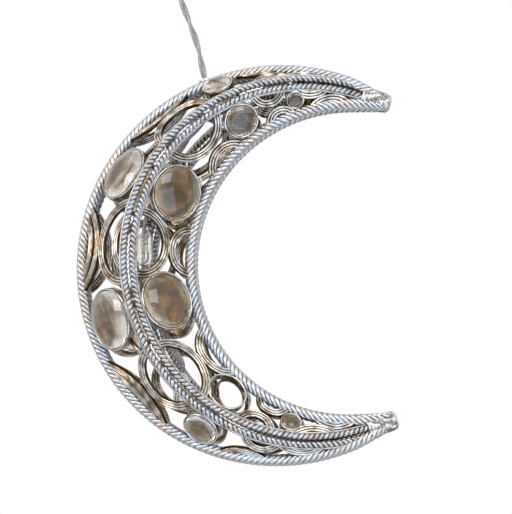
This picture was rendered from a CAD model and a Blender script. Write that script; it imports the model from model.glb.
import bpy
import numpy as np
from mathutils import Matrix


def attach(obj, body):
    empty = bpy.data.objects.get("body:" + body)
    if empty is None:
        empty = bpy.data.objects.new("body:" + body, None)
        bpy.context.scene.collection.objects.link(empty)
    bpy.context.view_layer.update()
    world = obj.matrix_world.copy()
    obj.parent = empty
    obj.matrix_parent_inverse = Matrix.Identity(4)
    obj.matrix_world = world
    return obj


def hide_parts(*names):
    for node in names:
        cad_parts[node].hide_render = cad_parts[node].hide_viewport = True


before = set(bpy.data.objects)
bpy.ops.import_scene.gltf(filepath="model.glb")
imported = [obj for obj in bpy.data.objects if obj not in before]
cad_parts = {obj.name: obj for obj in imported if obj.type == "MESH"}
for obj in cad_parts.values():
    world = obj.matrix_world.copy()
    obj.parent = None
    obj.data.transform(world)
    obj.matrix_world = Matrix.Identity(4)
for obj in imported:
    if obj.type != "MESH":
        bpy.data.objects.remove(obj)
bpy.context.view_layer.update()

# The camera stands where the photograph was taken from: half a metre in front of the moon, ten degrees
# below it and six to its right. The moon hangs by its eyelet, turned seven degrees from its own axes.
MM_PER_M = 1000
HANG_TURN = np.radians(7)
HANG_AXES = np.array([
    [np.cos(HANG_TURN), 0, np.sin(HANG_TURN)],
    [0, 1, 0],
    [-np.sin(HANG_TURN), 0, np.cos(HANG_TURN)],
])
EYELET_AT = np.array([5.3, 0, -50.3])
OUTER_R = 59
GLAND_ANGLE = np.radians(69)
GLAND = OUTER_R * np.array([-np.cos(GLAND_ANGLE), 0, np.sin(GLAND_ANGLE)])
MOON_AT = EYELET_AT - HANG_AXES @ GLAND


def hang(points):
    """Points in the moon's own axes, in mm, to the frame in metres: turned about Y, then moved."""
    return (np.asarray(points) @ HANG_AXES.T + MOON_AT) / MM_PER_M


VIEW_AZIMUTH, VIEW_ELEVATION, VIEW_ROLL = np.radians([6, -9.763, 0.506])
VIEW_DISTANCE = 480
VIEW_LENS, VIEW_NEAR = 112.06, 0.01
VIEW_SHIFT_X, VIEW_SHIFT_Y = -0.04015, 0.01022
back = np.array([
    np.sin(VIEW_AZIMUTH) * np.cos(VIEW_ELEVATION),
    -np.cos(VIEW_AZIMUTH) * np.cos(VIEW_ELEVATION),
    np.sin(VIEW_ELEVATION),
])
level = np.array([np.cos(VIEW_AZIMUTH), np.sin(VIEW_AZIMUTH), 0])
upright = np.cross(back, level)
right = np.cos(VIEW_ROLL) * level - np.sin(VIEW_ROLL) * upright
above = np.sin(VIEW_ROLL) * level + np.cos(VIEW_ROLL) * upright
camera_data = bpy.data.cameras.new("photo_camera")
camera_data.lens = VIEW_LENS
camera_data.shift_x = VIEW_SHIFT_X
camera_data.shift_y = VIEW_SHIFT_Y
camera_data.clip_start = VIEW_NEAR
camera = bpy.data.objects.new("photo_camera", camera_data)
stand = np.eye(4)
stand[:3, :3] = HANG_AXES @ np.stack([right, above, back], axis=1)
stand[:3, 3] = hang(VIEW_DISTANCE * back)
camera.matrix_world = Matrix(stand)
bpy.context.scene.collection.objects.link(camera)
bpy.context.scene.camera = camera

# The drop lead is two cores of stranded wire in clear soft plastic, twisted round each other. It hangs
# from its sleeve under the splice and goes in through the moon's eyelet, held by the stop below it.
LEAD_D, LEAD_LAY, LEAD_STEP = 0.002, 0.02, 0.0004
CORES, CORE_R, WIRE_R, CORE_SIDES = 2, LEAD_D / 4, LEAD_D / 9, 12
GLAND_LEAN = np.radians(12)
GLAND_UP = np.array([-np.sin(GLAND_LEAN), 0, np.cos(GLAND_LEAN)])
LEAD_IN, LEAD_SQUARE, LEAD_END = 6.25, 3, -2.53
LEAD_ROUTE = np.array([
    [0, 0, -14.88], [0, 0, -16.38], [1, 0, -22], [2.8, 0, -30], [4.2, 0, -37],
    *(EYELET_AT + up * HANG_AXES @ GLAND_UP for up in (LEAD_IN, LEAD_IN - LEAD_SQUARE, LEAD_END)),
]) / MM_PER_M
ROUTE_CUTS = 40
ACROSS_MOON = np.array([0, 1, 0])


def unit(vectors):
    """Vectors of length one: each divided by its own length."""
    return vectors / np.linalg.norm(vectors, axis=-1, keepdims=True)


def run_of(line):
    """Distance along a line at each of its points: the running sum of the steps between them."""
    return np.concatenate([[0], np.cumsum(np.linalg.norm(np.diff(line, axis=0), axis=1))])


def smooth_route(points, step):
    """A smooth line through points, cut into even steps: between two points it is the cubic whose slope
    at each is half of the way from the point before to the point after."""
    padded = np.concatenate([points[:1], points, points[-1:]])
    a, b, c, d = (padded[k:len(points) - 1 + k, None] for k in range(4))
    f = np.linspace(0, 1, ROUTE_CUTS, endpoint=False)[:, None]
    line = b + f * ((c - a) / 2 + f * (a - 2.5 * b + 2 * c - d / 2 + f * ((d - a) / 2 + 1.5 * (b - c))))
    line = np.concatenate([line.reshape(-1, 3), points[-1:]])
    run = run_of(line)
    even = np.linspace(0, run[-1], int(run[-1] / step) + 1)
    return np.stack([np.interp(even, run, line[:, k]) for k in range(3)], axis=1)


def wound(path, plane, strands, lay, wrap_r, strand_r, sides, thin=1):
    """Strands wound round a path that lies in a plane: the middle of each circles the path at wrap_r,
    once in every lay, and its rings stand square to it. Hollow is 0 outside and 1 at the path.
    A negative lay winds the other way, and thin scales the winding along the path."""
    run = run_of(path)
    side = unit(np.cross(plane, np.gradient(path, run, axis=0)))
    turn = 2 * np.pi * run / lay
    around = np.linspace(0, 2 * np.pi, sides, endpoint=False)[:, None]
    thin = np.broadcast_to(thin, run.shape)[:, None]
    skins = []
    for first in 2 * np.pi * np.arange(strands) / strands:
        out = np.cos(turn + first)[:, None] * side + np.sin(turn + first)[:, None] * plane
        middle = path + wrap_r * thin * out
        along = unit(np.gradient(middle, run, axis=0))
        out = unit(out - along * np.sum(out * along, axis=1, keepdims=True))
        beside = np.cross(along, out)
        spread = np.cos(around) * out[:, None] + np.sin(around) * beside[:, None]
        hollow = np.broadcast_to((1 - np.cos(around[:, 0])) / 2, spread.shape[:2])
        skins.append((middle[:, None] + strand_r * thin[:, None] * spread, hollow))
    return skins


def make_piece(name, skins, body, finishes, nodes, picks=None, loop=False):
    """One mesh over grids of points with a hollow value each: quads join every ring of a grid to the
    next, and the last to the first in a loop. Otherwise a face closes each end of the grid."""
    points, hollows, faces, chosen = [], [], [], []
    start = 0
    for number, (rings, hollow) in enumerate(skins):
        n, m = rings.shape[:2]
        row = start + m * np.arange(n if loop else n - 1)[:, None]
        next_row = start + (row - start + m) % (n * m)
        j = np.arange(m)
        k = (j + 1) % m
        quads = np.stack([row + j, row + k, next_row + k, next_row + j], axis=-1).reshape(-1, 4).tolist()
        first = list(range(start + m - 1, start - 1, -1))
        last = list(range(start + (n - 1) * m, start + n * m))
        ends = [] if loop else [first, last]
        faces += quads + ends
        chosen += [picks[number] if picks else 0] * (len(quads) + len(ends))
        points.append(rings.reshape(-1, 3))
        hollows.append(np.broadcast_to(hollow, (n, m)).reshape(-1))
        start += n * m
    mesh = bpy.data.meshes.new(name)
    mesh.from_pydata(np.concatenate(points).tolist(), [], faces)
    hollow_values = np.concatenate(hollows).astype(np.float32)
    mesh.attributes.new("hollow", "FLOAT", "POINT").data.foreach_set("value", hollow_values)
    mesh.polygons.foreach_set("material_index", np.array(chosen, np.int32))
    mesh.shade_smooth()
    for material in finishes:
        mesh.materials.append(material)
    piece = bpy.data.objects.new(name, mesh)
    bpy.context.scene.collection.objects.link(piece)
    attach(piece, body)
    if nodes:
        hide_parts(*nodes)
    return piece


def set_inputs(material, node, inputs):
    """Links each input that is another node's output, and sets any other."""
    for key, value in inputs.items():
        socket = node.inputs[key.replace("_", " ")]
        if isinstance(value, bpy.types.NodeSocket):
            material.node_tree.links.new(value, socket)
        else:
            socket.default_value = value


def add_node(material, kind, **inputs):
    """A new shader node with its inputs linked or set."""
    made = material.node_tree.nodes.new(kind)
    set_inputs(material, made, inputs)
    return made


def ramp(material, factor, stops):
    """Colours that follow a factor through stops of place and colour."""
    made = add_node(material, "ShaderNodeValToRGB", Fac=factor)
    while len(made.color_ramp.elements) < len(stops):
        made.color_ramp.elements.new(1)
    for element, (place, colour) in zip(made.color_ramp.elements, stops):
        element.position = place
        element.color = (*colour, 1)
    return made.outputs["Color"]


def spread_of(material, factor, low, high):
    """A noise's middle range spread from low to high."""
    made = add_node(
        material, "ShaderNodeMapRange", Value=factor, From_Min=0.3, From_Max=0.7, To_Min=low, To_Max=high,
    )
    return made.outputs["Result"]


def noise(material, scale, detail=3.0):
    """Cloudy noise on the object's own coordinates, with this many features to a metre."""
    place = add_node(material, "ShaderNodeTexCoord").outputs["Object"]
    return add_node(material, "ShaderNodeTexNoise", Vector=place, Scale=scale, Detail=detail).outputs["Fac"]


def raised(material, height, strength):
    """A surface raised by a height of up to a tenth of a millimetre."""
    return add_node(
        material, "ShaderNodeBump", Height=height, Strength=strength, Distance=0.0001,
    ).outputs["Normal"]


def new_finish(name):
    """A material with a surface shader that is still to be set."""
    material = bpy.data.materials.new(name)
    material.use_nodes = True
    return material


def set_finish(material, **inputs):
    """Sets or links the inputs of a material's surface shader."""
    set_inputs(material, material.node_tree.nodes["Principled BSDF"], inputs)
    return material


def clear_plastic(name, tint, shadow, roughness, through):
    """Clear plastic with a faint cloud in its colour and gloss, and flow marks raised on its surface."""
    material = new_finish(name)
    cloud = noise(material, scale=260, detail=4)
    return set_finish(
        material, Base_Color=ramp(material, cloud, [(0.3, shadow), (0.7, tint)]),
        Roughness=spread_of(material, cloud, low=0.7 * roughness, high=1.3 * roughness),
        Normal=raised(material, noise(material, scale=600), strength=0.06),
        Transmission_Weight=through, IOR=1.5,
    )


def bare_wire(name, crest, pit):
    """Tinned strands of wire, with dull pits between them."""
    material = new_finish(name)
    pits = noise(material, scale=800)
    return set_finish(
        material, Base_Color=ramp(material, pits, [(0.35, pit), (0.65, crest)]),
        Roughness=spread_of(material, pits, low=0.45, high=0.25), Metallic=1.0,
    )


soft_clear = clear_plastic(
    "soft_clear_plastic", tint=(0.7, 0.64, 0.66), shadow=(0.48, 0.42, 0.45), roughness=0.22, through=0.7,
)
core_wire = bare_wire("core_wire", crest=(0.42, 0.355, 0.34), pit=(0.24, 0.19, 0.18))


def twisted_lead(name, path, body, node):
    """Two clear cores twisted together, with a bare wire inside each."""
    clear = wound(path, ACROSS_MOON, CORES, LEAD_LAY, CORE_R, CORE_R, CORE_SIDES)
    wire = wound(path, ACROSS_MOON, CORES, LEAD_LAY, CORE_R, WIRE_R, CORE_SIDES)
    picks = [0] * CORES + [1] * CORES
    return make_piece(name, clear + wire, body, [soft_clear, core_wire], [node], picks)


lead_path = smooth_route(LEAD_ROUTE, LEAD_STEP)
drop_lead = twisted_lead("twisted_drop_lead", lead_path, "lead", "drop_lead")


# The splice is a clear moulding round the curtain's header cable, with a socket below for the lead's
# knot. The sleeve and the stop are clear crimped tubes, and the knot is the lead's own plastic.
def dress(material, *names):
    """Gives a finish to nodes that keep the shape of their solid."""
    for name in names:
        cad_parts[name].material_slots[0].material = material


hard_clear = clear_plastic(
    "hard_clear_moulding", tint=(0.93, 0.93, 0.95), shadow=(0.8, 0.8, 0.83), roughness=0.16, through=0.8,
)
dress(hard_clear, "header_splice", "lead_sleeve", "lead_stop")
dress(soft_clear, "lead_knot")

# The ropes edge each of the four panels: five plated strands along its edge, and along its ridge two fat
# ones with a thin rail beside them. The two ropes of a pair are wound against each other, so that they
# look plaited, and all the ropes thin out into the tips.
TIP_ANGLE = 125.5
MOON_WIDTH = 0.562 * OUTER_R
RIDGE_INSET = 0.515 * MOON_WIDTH
RIDGE_DEPTH = 17
EDGE_D, RIDGE_D, PAIR_GAP = 3.5, 2.4, 0.1
EDGE_PITCH, RIDGE_PITCH = EDGE_D + PAIR_GAP, RIDGE_D + PAIR_GAP
TIP_X = -OUTER_R * np.cos(np.radians(TIP_ANGLE))
TIP_Z = OUTER_R * np.sin(np.radians(TIP_ANGLE))
INNER_X = MOON_WIDTH - OUTER_R
INNER_TIP_Z = TIP_Z - 0.56 * EDGE_D
INNER_SHIFT = (TIP_X ** 2 + INNER_TIP_Z ** 2 - INNER_X ** 2) / (2 * (TIP_X - INNER_X))
INNER_R = INNER_SHIFT - INNER_X
RIDGE_REACH = np.hypot(TIP_X + OUTER_R - RIDGE_INSET, RIDGE_DEPTH)
RIDGE_TURN = np.arcsin(RIDGE_DEPTH / RIDGE_REACH)
RIDGE_R = (TIP_Z ** 2 + RIDGE_REACH ** 2) / (2 * RIDGE_REACH)
RIDGE_C = RIDGE_R - RIDGE_REACH
RIDGE_K = np.arccos(RIDGE_C / RIDGE_R) / np.radians(TIP_ANGLE)
INNER_K = (np.pi - np.arctan2(TIP_Z, TIP_X - INNER_SHIFT)) / np.radians(TIP_ANGLE)
FRONT, BACK = -1, 1
PANELS = [
    ("front_outer", True, FRONT), ("front_inner", False, FRONT),
    ("back_outer", True, BACK), ("back_inner", False, BACK),
]
EDGE_ROPE_END, EDGE_TAPER_FROM, EDGE_LAY = 124.5, 112, 8.5
EDGE_STRANDS, EDGE_WRAP_R, EDGE_STRAND_R, EDGE_STRAND_SIDES = 5, 1.12, 0.63, 10
RIDGE_ROPE_END, RIDGE_TAPER_FROM, RIDGE_LAY = 123.5, 110, 3.0
RIDGE_STRANDS, RIDGE_WRAP_R, RIDGE_STRAND_R, RIDGE_STRAND_SIDES = 2, 0.55, 0.65, 12
RAIL_OFF, RAIL_R, RAIL_SIDES, RAIL_HOLLOW, STRAIGHT_LAY = 1.05, 0.32, 8, 0.12, 1e6
ROPE_TAPER, TAPER_POWER, ROPE_STEPS = 0.55, 1.5, 1100
UNEVEN, UNEVEN_FAST, UNEVEN_SLOW, UNEVEN_START = 0.06, 1.7, 0.61, 40
WARM_PLATING, COOL_PLATING = (1, 0.93, 0.86), (0.94, 0.97, 1)


def edge_at(outer, side, degrees):
    """The middle of a panel's edge rope at an angle along the moon: a circle, half a pitch off the middle."""
    t = np.radians(degrees) * (1 if outer else INNER_K)
    r, shift = (OUTER_R, 0) if outer else (INNER_R, INNER_SHIFT)
    return np.stack([shift - r * np.cos(t), side * EDGE_PITCH / 2 + 0 * t, r * np.sin(t)], axis=-1)


def ridge_at(outer, side, degrees, further=0):
    """The middle of a panel's ridge rope: a circle in a plane turned about the line between the tips. A
    line that is further from the ridge's own middle runs beside it."""
    t = np.radians(degrees) * RIDGE_K
    r = RIDGE_R + (1 if outer else -1) * (RIDGE_PITCH / 2 + further)
    s = RIDGE_C - r * np.cos(t)
    return np.stack([TIP_X + s * np.cos(RIDGE_TURN), -side * s * np.sin(RIDGE_TURN), r * np.sin(t)], axis=-1)


def horn_taper(t, start):
    """How full a rope is at each angle: whole up to start, and from there less by a power of the way on."""
    return 1 - ROPE_TAPER * np.clip((np.abs(t) - start) / (t[-1] - start), 0, 1) ** TAPER_POWER


def hollow_of(material):
    """The hollow value that a piece's mesh carries at each point."""
    made = add_node(material, "ShaderNodeAttribute")
    made.attribute_name = "hollow"
    return made.outputs["Fac"]


def combine(material, kind, operation, first, second):
    """Two outputs worked into one, such as their sum or their product."""
    made = add_node(material, kind)
    made.operation = operation
    material.node_tree.links.new(first, made.inputs[0])
    material.node_tree.links.new(second, made.inputs[1])
    return made.outputs[0]


def plated(name, crest, flank, pit, grain=420, gloss=(0.14, 0.3), cast=0.15, wear=0.42):
    """Bright plating, clear on the crests and dark in the hollows of the piece. A mottle wears the line
    between them, a cloud tints the plating warm or cool, and fine casting grain is raised on it."""
    material = new_finish(name)
    mottle = spread_of(material, noise(material, scale=grain, detail=4), low=-wear, high=wear)
    worn = combine(material, "ShaderNodeMath", "ADD", hollow_of(material), mottle)
    shade = ramp(material, worn, [(0.02, crest), (0.3, flank), (0.65, pit)])
    cloud = noise(material, scale=130, detail=2)
    tint = ramp(material, cloud, [(0.36, WARM_PLATING), (0.6, COOL_PLATING)])
    fine = noise(material, scale=1900)
    return set_finish(
        material, Base_Color=combine(material, "ShaderNodeVectorMath", "MULTIPLY", shade, tint),
        Roughness=spread_of(material, fine, *gloss), Normal=raised(material, fine, strength=cast),
        Metallic=1.0,
    )


def plated_piece(name, skins, finish, *nodes, loop=False):
    """A plated piece of the moon, from skins in the moon's own axes."""
    hung = [(hang(rings), hollow) for rings, hollow in skins]
    return make_piece(name, hung, "moon", [finish], nodes, loop=loop)


edge_silver = plated(
    "edge_silver", crest=(0.53, 0.525, 0.54), flank=(0.44, 0.425, 0.415), pit=(0.25, 0.225, 0.21),
    grain=700, gloss=(0.24, 0.4), cast=0.9, wear=0.3,
)
ridge_silver = plated(
    "ridge_silver", crest=(0.43, 0.42, 0.43), flank=(0.345, 0.315, 0.29), pit=(0.17, 0.145, 0.125),
    gloss=(0.26, 0.44), cast=1.0,
)
for panel, outer, side in PANELS:
    hand = side if outer else -side
    t = np.linspace(-EDGE_ROPE_END, EDGE_ROPE_END, ROPE_STEPS)
    strands = wound(
        edge_at(outer, side, t), ACROSS_MOON, EDGE_STRANDS, hand * EDGE_LAY, EDGE_WRAP_R, EDGE_STRAND_R,
        EDGE_STRAND_SIDES, horn_taper(t, EDGE_TAPER_FROM),
    )
    plated_piece(f"{panel}_edge_twist", strands, edge_silver, f"{panel}_edge_rope")
    t = np.linspace(-RIDGE_ROPE_END, RIDGE_ROPE_END, ROPE_STEPS)
    thin = horn_taper(t, RIDGE_TAPER_FROM)
    waves = np.sin(UNEVEN_FAST * t + UNEVEN_START * hand) * np.sin(UNEVEN_SLOW * t)
    plane = np.array([np.sin(side * RIDGE_TURN), np.cos(side * RIDGE_TURN), 0])
    strands = wound(
        ridge_at(outer, side, t), plane, RIDGE_STRANDS, -hand * RIDGE_LAY, RIDGE_WRAP_R, RIDGE_STRAND_R,
        RIDGE_STRAND_SIDES, thin * (1 - UNEVEN * (1 + waves)),
    )
    rail_path = ridge_at(outer, side, t, RAIL_OFF * thin)
    rail, _ = wound(rail_path, plane, 1, STRAIGHT_LAY, 0, RAIL_R, RAIL_SIDES, thin)[0]
    strands.append((rail, RAIL_HOLLOW))
    plated_piece(f"{panel}_ridge_twist", strands, ridge_silver, f"{panel}_ridge_rope")

# A tip is the cast nub in which all the ropes of a horn end. Its plated skin is rough from the mould: the
# ropes' lay runs on over it as shallow flutes with lumps between them, down to its blunt end.
TIP_R, TIP_FLARE, TIP_TAPER = 3.2, 1.16, 0.032
TIP_START, TIP_NECK, TIP_END, TIP_FADE = -1, 5, 2.8, 2
TIP_SHAFT_STEPS, TIP_END_STEPS, TIP_SIDES, TIP_LEAST = 40, 24, 72, 0.00001
FLUTES, FLUTE_SLANT, FLUTE_DEPTH = 7, 1.2, 0.07
LUMP_WAVES, LUMP_DEPTH = ((7, 2.9, 0), (5, -3.4, 1)), 0.08
TIP_ROOT_ANGLE = TIP_ANGLE - 8
tip_silver = plated(
    "tip_silver", crest=(0.66, 0.645, 0.63), flank=(0.47, 0.445, 0.42), pit=(0.2, 0.17, 0.145),
    grain=520, cast=1.0,
)
tip_root = (edge_at(True, 0, TIP_ROOT_ANGLE) + edge_at(False, 0, TIP_ROOT_ANGLE)) / 2
root_turns = np.radians(TIP_ROOT_ANGLE) * np.array([1, INNER_K])
tip_way = unit(np.array([np.sin(root_turns).sum(), 0, np.cos(root_turns).sum()]))
tip_side = np.cross(ACROSS_MOON, tip_way)


def cast_nub(up):
    """A nub's skin with its hollow, in rings from its root to its end. The radius falls evenly to the neck,
    and from there as the cube root of one less the cube of the way to the end. Flutes, which are waves
    wound round it, and lumps, which are two such waves multiplied, cut into it and fade out at the end.
    The lower nub is the upper one mirrored, with its rings the other way round."""
    shaft = np.linspace(TIP_START, TIP_NECK, TIP_SHAFT_STEPS)
    end = TIP_NECK + TIP_END * np.sin(np.linspace(0, np.pi / 2, TIP_END_STEPS)[1:])
    u = np.concatenate([shaft, end])[:, None]
    around = np.linspace(0, 2 * np.pi, TIP_SIDES, endpoint=False)
    to_end = np.clip(u - TIP_NECK, 0, TIP_END) / TIP_END
    shaft_r = TIP_R * (TIP_FLARE - TIP_TAPER * (np.minimum(u, TIP_NECK) - TIP_START))
    fade = np.clip((TIP_NECK + TIP_END - u) / TIP_FADE, 0, 1)
    flute = (1 + np.cos(FLUTES * around + FLUTE_SLANT * u)) / 2
    wave, cross_wave = (np.sin(count * around + slant * u + start) for count, slant, start in LUMP_WAVES)
    lump = (1 + wave * cross_wave) / 2
    radius = shaft_r * np.cbrt(np.clip(1 - to_end ** 3, TIP_LEAST, 1))
    radius = radius * (1 - fade * (FLUTE_DEPTH * flute + LUMP_DEPTH * lump))
    ring = np.cos(around)[:, None] * tip_side + np.sin(around)[:, None] * ACROSS_MOON
    rings = tip_root + u[..., None] * tip_way + radius[..., None] * ring
    hollow = fade * (flute + lump) / 2
    return (rings, hollow) if up > 0 else (rings[:, ::-1] * [1, 1, -1], hollow[:, ::-1])


for name, up in (("upper_tip", 1), ("lower_tip", -1)):
    plated_piece(f"{name}_nub", [cast_nub(up)], tip_silver, f"{name}_cap")

# A scroll is three plated wires soldered side by side and bent to a bow, with both feet soldered to one
# rope. Each panel has its own set: tall bows on the ridge rope, flat ones on the edge rope, and a few more
# bands nested inside them or set beyond the last stones.
EDGE, RIDGE = 0, 1
# Each row is the angle of a scroll's middle, its rope, its height as a share of the panel, and half its span.
OUTER_SCROLLS = [
    (5, RIDGE, 0.525, 13.3), (5, EDGE, 0.37, 12), (51, RIDGE, 0.56, 10.5), (52, EDGE, 0.28, 11),
    (-43, RIDGE, 0.5, 11), (-43, EDGE, 0.34, 12.5), (84.5, RIDGE, 0.44, 5.3), (84.5, EDGE, 0.27, 6),
    (-80, RIDGE, 0.42, 5.5), (-80, EDGE, 0.33, 6.5), (95, RIDGE, 0.42, 6), (-93, RIDGE, 0.42, 7),
]
INNER_SCROLLS = [
    (5.5, RIDGE, 0.555, 10.8), (5, EDGE, 0.34, 9.1), (51, RIDGE, 0.54, 10.8), (49, EDGE, 0.29, 9.5),
    (-44, RIDGE, 0.55, 11.8), (-41, EDGE, 0.32, 11.5), (82, RIDGE, 0.42, 5.2), (79, EDGE, 0.3, 5.5),
    (-76.5, RIDGE, 0.41, 5.8), (-74, EDGE, 0.35, 6), (101, EDGE, 0.4, 8), (-101, EDGE, 0.4, 8),
]
OUTER_NESTED = [(5, EDGE, 0.215, 9.6), (-43, EDGE, 0.2, 10), (5, RIDGE, 0.2, 8.6)]
INNER_NESTED = [(-97, RIDGE, 0.44, 7.5), (97, RIDGE, 0.4, 6)]
BAND_WIRES, BAND_HALF_W, BAND_HALF_T, BAND_GROOVE = 3, 1.3, 0.75, 0.6
BAND_STEPS, SCROLL_STEPS = 37, 48
scroll_silver = plated(
    "scroll_silver", crest=(0.6, 0.565, 0.52), flank=(0.29, 0.23, 0.165), pit=(0.1, 0.07, 0.042), grain=380,
)


def band_section():
    """The section of wires side by side with its hollow, over the top and back below. The height across it
    follows the square root of a cosine's size, with half a wave to each wire, on a flat web."""
    over = np.linspace(-1, 1, BAND_STEPS)
    crests = np.sqrt(np.abs(np.cos(BAND_WIRES / 2 * np.pi * over)))
    top = np.stack([BAND_HALF_W * over, BAND_HALF_T * (1 - BAND_GROOVE * (1 - crests))], axis=1)
    return np.concatenate([top, top[::-1] * [1, -1]]), 1 - np.concatenate([crests, crests[::-1]])


def hand_of(outer, side, base):
    """Which way round a panel's own axes run, so that the third points out of the moon."""
    return (1 if outer else -1) * -side * (-1 if base == RIDGE else 1)


def scroll_arc(outer, side, middle_angle, base, bow_share, half_spread):
    """The arc of a scroll that stands on one rope, through both feet and its crown: its points, the way out
    from its centre at each, and the way out of the moon. Its radius is the square of its height plus the
    square of half the distance between its feet, over twice its height."""
    lines = (edge_at, ridge_at)
    foot_a, foot_b = (lines[base](outer, side, middle_angle + s * half_spread) for s in (-1, 1))
    foot = lines[base](outer, side, middle_angle)
    crown = foot + bow_share * (lines[1 - base](outer, side, middle_angle) - foot)
    middle = (foot_a + foot_b) / 2
    y = hand_of(outer, side, base) * unit(foot_b - foot_a)
    x = unit(crown - middle - y * ((crown - middle) @ y))
    bow = (crown - middle) @ x
    r = (bow ** 2 + np.sum((foot_b - foot_a) ** 2) / 4) / (2 * bow)
    half = np.arccos((r - bow) / r)
    a = np.linspace(-half, half, SCROLL_STEPS)[:, None]
    out = np.cos(a) * x + np.sin(a) * y
    return middle + (bow - r) * x + r * out, out, np.cross(x, y)


def scroll(outer, side, row):
    """A band carried along a scroll's arc, its width on the way out from the arc's centre and its thickness
    on the way out of the moon."""
    line, out, z = scroll_arc(outer, side, *row)
    band, hollow = band_section()
    return line[:, None] + band[:, :1] * out[:, None] + band[:, 1:] * z, hollow


for panel, outer, side in PANELS:
    rows = OUTER_SCROLLS + OUTER_NESTED if outer else INNER_SCROLLS + INNER_NESTED
    nodes = [f"{panel}_scrolls"] if outer else [f"{panel}_scrolls", f"{panel}_bow"]
    plated_piece(f"{panel}_wire_scrolls", [scroll(outer, side, row) for row in rows], scroll_silver, *nodes)

# A bezel is a thin plated cup with a rolled rim, soldered between the two ropes of a panel. A ledge
# inside it carries the stone. One ring on each inner panel is open and has no ledge.
EYELET_STONE, OPEN_RING = 69.5, -58.7
OUTER_STONES = [28.5, -18.5, EYELET_STONE, -63]
INNER_STONES = [27, -16, 66, 89, -86]
BEZEL_WALL, BEZEL_HALF_H, BEZEL_LEDGE = 0.6, 1.3, 0.5
BEZEL_SINK, EYELET_LIFT, SOLDER_BITE = 0.4, 0.9, 0.15
FOOT_EASE, LIP_EASE, SEAT_EASE, SEAT_DROP = 0.1, 0.08, 0.02, 0.06
FOOT_HOLLOW, RIM_HOLLOW, SEAT_HOLLOW = [0.7, 0.5, 0.45, 0.4], 0.25, [0.75, 0.8, 0.7, 0.6]
RIM_STEPS, TURNED_SIDES = 9, 72
bezel_silver = plated(
    "bezel_silver", crest=(0.66, 0.65, 0.63), flank=(0.38, 0.31, 0.23), pit=(0.14, 0.1, 0.06), grain=300,
)


def setting(outer, side, angle):
    """A stone's place on its panel, which is its middle, two axes in the panel and the way out, and its
    bezel's radius. The bezel bites into both ropes alike: its radius is half of the clear way between them
    and the bite, and it lies off the middle where one rope is nearer."""
    a, b = edge_at(outer, side, angle), ridge_at(outer, side, angle)
    reach = []
    for line, rope_d in ((edge_at, EDGE_D), (ridge_at, RIDGE_D)):
        way = unit(line(outer, side, angle + 1) - line(outer, side, angle - 1))
        reach.append((np.linalg.norm(np.cross(b - a, way)) - rope_d) / 2)
    to_edge, to_ridge = reach
    x = unit(b - a)
    along = edge_at(outer, side, angle + 1) + ridge_at(outer, side, angle + 1) - a - b
    y = hand_of(outer, side, EDGE) * unit(along - x * (along @ x))
    z = np.cross(x, y)
    lift = EYELET_LIFT if outer and angle == EYELET_STONE else -BEZEL_SINK
    middle = (a + b + (to_ridge - to_edge) * x) / 2 + lift * z
    return (middle, x, y, z), (to_edge + to_ridge) / 2 + SOLDER_BITE


def turned_on(place, profile):
    """A profile of radius and height turned about a setting's way out."""
    middle, x, y, z = place
    around = np.linspace(0, 2 * np.pi, TURNED_SIDES, endpoint=False)[:, None]
    ring = np.cos(around) * x + np.sin(around) * y
    return middle + profile[:, :1, None] * ring + profile[:, 1:, None] * z


def bezel_profile(r, ledge):
    """A cup's section with its hollow: out along the foot, up the outside, over the rim in a half circle,
    down the inside to the seat and in to the lip."""
    inside = r - BEZEL_WALL
    lip = inside - (BEZEL_LEDGE if ledge else SEAT_EASE)
    low = -BEZEL_HALF_H
    roll_r = BEZEL_WALL / 2
    over = np.linspace(0, np.pi, RIM_STEPS)
    foot = [[lip, low + LIP_EASE], [lip + LIP_EASE, low], [r - FOOT_EASE, low], [r, low + FOOT_EASE]]
    rim = np.stack([r - roll_r * (1 - np.cos(over)), BEZEL_HALF_H - roll_r + roll_r * np.sin(over)], axis=1)
    seat = [[inside, SEAT_DROP], [inside - SEAT_EASE, 0], [lip + SEAT_EASE, 0], [lip, -SEAT_DROP]]
    hollow = np.concatenate([FOOT_HOLLOW, RIM_HOLLOW * np.abs(np.cos(over)), SEAT_HOLLOW])
    return np.concatenate([foot, rim, seat]), hollow[:, None]


for panel, outer, side in PANELS:
    cups = []
    for angle in OUTER_STONES if outer else INNER_STONES + [OPEN_RING]:
        place, r = setting(outer, side, angle)
        profile, hollow = bezel_profile(r, angle != OPEN_RING)
        cups.append((turned_on(place, profile), hollow))
    plated_piece(f"{panel}_rolled_bezels", cups, bezel_silver, f"{panel}_bezels", loop=True)

# A tie is a short plated bar soldered between a stone's bezel and the scroll next to it, where the
# openwork is widest.
TIE_R, TIE_SIDES, TIE_HOLLOW = 0.75, 12, 0.25
OUTER_TIES = [(28.5, OUTER_SCROLLS[2]), (-18.5, OUTER_SCROLLS[4])]
INNER_TIES = [(27, INNER_SCROLLS[3])]


def tie(outer, side, angle, row):
    """A bar's skin with its hollow: a ring carried straight from the wall of a stone's bezel to the nearest
    point of a scroll's arc."""
    (middle, _, _, z), r = setting(outer, side, angle)
    line, _, _ = scroll_arc(outer, side, *row)
    end = line[np.argmin(np.linalg.norm(line - middle, axis=1))]
    way = unit(end - middle)
    beside = unit(np.cross(way, z))
    around = np.linspace(0, 2 * np.pi, TIE_SIDES, endpoint=False)[:, None]
    ring = TIE_R * (np.cos(around) * beside + np.sin(around) * np.cross(way, beside))
    return np.stack([middle + (r - BEZEL_WALL / 2) * way + ring, end + ring]), TIE_HOLLOW


for panel, outer, side in PANELS:
    bars = [tie(outer, side, *row) for row in (OUTER_TIES if outer else INNER_TIES)]
    plated_piece(f"{panel}_ties", bars, scroll_silver)

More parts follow.
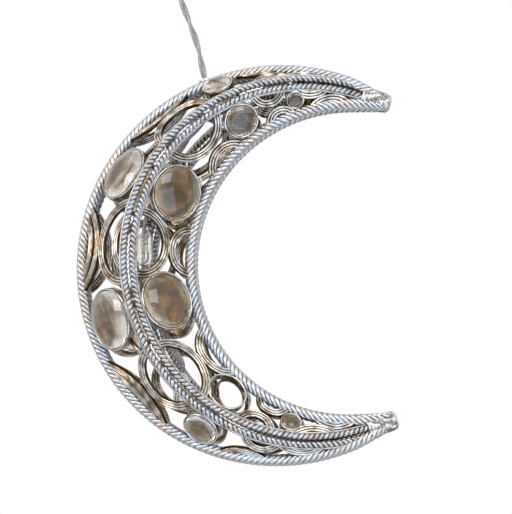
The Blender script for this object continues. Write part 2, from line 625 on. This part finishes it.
# A stone is a clear dome of smoky or paler glass with a short straight girdle and a flat back. It sits on
# its bezel's ledge, and the bezel's rim is rolled over its edge.
STONE_GAP, STONE_DOME, STONE_EASE, STONE_POLE = 0.1, 0.32, 0.08, 0.01
DOME_FLAT, DOME_ROUND, DEPTH_POWER, DOME_STEPS = 2.5, 0.8, 3, 32
PALE_INNER_STONES = (66, 89)


def glass(name, rim, body, heart):
    """Polished glass, tinted deeper from the rim to the middle of the dome, with a cloud in the tint."""
    material = new_finish(name)
    cloud = spread_of(material, noise(material, scale=210), low=-0.75, high=0.45)
    depth = combine(material, "ShaderNodeMath", "ADD", hollow_of(material), cloud)
    return set_finish(
        material, Base_Color=ramp(material, depth, [(0.1, rim), (0.5, body), (0.95, heart)]),
        Roughness=spread_of(material, noise(material, scale=500), low=0.01, high=0.05),
        Transmission_Weight=0.92, IOR=1.55, Coat_Weight=0.2, Coat_IOR=1.8, Coat_Roughness=0.02,
    )


smoky_glass = glass(
    "smoky_glass", rim=(0.72, 0.58, 0.4), body=(0.43, 0.28, 0.125), heart=(0.185, 0.11, 0.042),
)
pale_glass = glass(
    "pale_glass", rim=(0.86, 0.83, 0.8), body=(0.55, 0.44, 0.31), heart=(0.25, 0.16, 0.08),
)


def stone_profile(r):
    """A dome's section with its depth: out along the flat back, up the girdle, over a round shoulder and
    in. The height is a power of one less a power of the way out. The depth is 1 at the middle and falls to
    0 at the rim with the cube of the way out."""
    out = np.cos(np.linspace(0, np.pi / 2 - STONE_POLE, DOME_STEPS))
    dome_h = STONE_DOME * r * (1 - out ** DOME_FLAT) ** DOME_ROUND
    dome = np.stack([r * out, BEZEL_HALF_H + dome_h], axis=1)
    corner = STONE_EASE / 4
    foot = [[STONE_POLE * r, 0], [r / 2, 0], [r - STONE_EASE, 0], [r - corner, corner], [r, STONE_EASE]]
    profile = np.concatenate([foot, dome])
    return profile, 1 - (profile[:, :1] / r) ** DEPTH_POWER


for panel, outer, side in PANELS:
    for number, angle in enumerate(OUTER_STONES if outer else INNER_STONES, 1):
        place, r = setting(outer, side, angle)
        profile, depth = stone_profile(r - BEZEL_WALL - STONE_GAP)
        finish = pale_glass if outer or angle in PALE_INNER_STONES else smoky_glass
        make_piece(
            f"{panel}_dome_{number}", [(hang(turned_on(place, profile)), depth)], "moon",
            [finish], [f"{panel}_stone_{number}"],
        )

# The eyelet is a plated tube swaged over at both ends between the two outer ropes. The lead runs
# through it and can turn in it.
dress(bezel_silver, "lead_eyelet")

# Inside the moon the lead goes on from the stop to two lamps. Each lamp is a small lit chip sealed in a
# drop of clear resin on the lead.
STOP_REACH, LAMP_HALF_H = 4.61, 5
STOP_FOOT = GLAND - STOP_REACH * GLAND_UP
LAMP_1, LAMP_2 = OUTER_R * np.array([[-0.68, 0, 0.085], [-0.487, 0, -0.64]])
LAMP_END = np.array([0, 0, LAMP_HALF_H])
LAMP_REACH = np.array([0, 0, LAMP_HALF_H + LEAD_SQUARE])
UPPER_BENDS = OUTER_R * np.array([[-0.403, 0, 0.723], [-0.571, 0, 0.504], [-0.639, 0, 0.336]])
LOWER_BENDS = OUTER_R * np.array([[-0.622, 0, -0.202], [-0.555, 0, -0.387]])
INNER_ROUTES = {
    "upper": [
        STOP_FOOT, STOP_FOOT - LEAD_SQUARE * GLAND_UP, *UPPER_BENDS, LAMP_1 + LAMP_REACH, LAMP_1 + LAMP_END,
    ],
    "lower": [
        LAMP_1 - LAMP_END, LAMP_1 - LAMP_REACH, *LOWER_BENDS, LAMP_2 + LAMP_REACH, LAMP_2 + LAMP_END,
    ],
}
for name, route in INNER_ROUTES.items():
    path = smooth_route(hang(route), LEAD_STEP)
    inner_lead = twisted_lead(f"twisted_{name}_lead", path, "moon", f"inner_lead_{name}")
clear_resin = clear_plastic(
    "clear_resin", tint=(0.93, 0.92, 0.88), shadow=(0.85, 0.83, 0.77), roughness=0.08, through=0.9,
)


def grained(name, scale, low, high, roughness):
    """A matt finish with a grain between two colours."""
    material = new_finish(name)
    colours = ramp(material, noise(material, scale), [(0.3, low), (0.7, high)])
    return set_finish(material, Base_Color=colours, Roughness=roughness)


phosphor = grained(
    "lamp_phosphor", scale=1500, low=(0.8, 0.7, 0.4), high=(0.92, 0.85, 0.6), roughness=0.55,
)
dress(clear_resin, "lamp_1_drop", "lamp_2_drop")
dress(phosphor, "lamp_1_chip", "lamp_2_chip")

# The studio is a pale floor well below the hanging moon, large soft lamps, and a surround that is white to
# the eye, to gloss and to glass, and a little darker as the light of the room.
FLOOR_Z, FLOOR_HALF = -0.55, 12
FLOOR_CORNERS = np.array([[-1, -1, 0], [1, -1, 0], [1, 1, 0], [-1, 1, 0]])
floor_points = FLOOR_HALF * FLOOR_CORNERS + [0, 0, FLOOR_Z]
floor_mesh = bpy.data.meshes.new("floor")
floor_mesh.from_pydata(floor_points.tolist(), [], [(0, 1, 2, 3)])
floor_mesh.materials.append(
    grained("pale_floor", scale=6, low=(0.84, 0.84, 0.83), high=(0.88, 0.88, 0.87), roughness=0.8)
)
floor = bpy.data.objects.new("floor", floor_mesh)
bpy.context.scene.collection.objects.link(floor)

world = bpy.data.worlds.new("studio")
world.use_nodes = True
bpy.context.scene.world = world
white = world.node_tree.nodes["Background"]
white.inputs["Color"].default_value = (1, 1, 1, 1)
ambient = add_node(world, "ShaderNodeBackground", Color=(0.93, 0.96, 1, 1), Strength=0.65)
rays = add_node(world, "ShaderNodeLightPath")
seen = rays.outputs["Is Camera Ray"]
for name in ("Is Glossy Ray", "Is Transmission Ray"):
    seen = combine(world, "ShaderNodeMath", "MAXIMUM", seen, rays.outputs[name])
both = add_node(world, "ShaderNodeMixShader", Fac=seen)
world.node_tree.links.new(ambient.outputs[0], both.inputs[1])
world.node_tree.links.new(white.outputs[0], both.inputs[2])
world.node_tree.links.new(both.outputs[0], world.node_tree.nodes["World Output"].inputs["Surface"])

LAMP_AIM = np.array([0.01, 0, -0.11])
STUDIO_LAMPS = {
    "left": ((-0.5, -0.61, 0.21), 0.45, 3.5, (1, 0.95, 0.9)),
    "right": ((0.36, -0.7, 0.21), 0.5, 3.0, (0.86, 0.93, 1)),
    "low": ((0.1, -0.2, -0.285), 0.35, 0.6, (0.5, 0.72, 1)),
    "sky": ((0.1, -0.05, 0.8), 1.2, 1.5, (0.78, 0.89, 1)),
}
for name, (place, size, power, colour) in STUDIO_LAMPS.items():
    lamp = bpy.data.lights.new(name, "AREA")
    lamp.size = size
    lamp.energy = power
    lamp.color = colour
    holder = bpy.data.objects.new(name, lamp)
    z = unit(np.array(place) - LAMP_AIM)
    x = unit(np.cross([0, 0, 1], z))
    stand = np.eye(4)
    stand[:3, :3] = np.stack([x, np.cross(z, x), z], axis=1)
    stand[:3, 3] = place
    holder.matrix_world = Matrix(stand)
    holder.visible_camera = False
    bpy.context.scene.collection.objects.link(holder)

bpy.context.scene.view_settings.view_transform = "Standard"
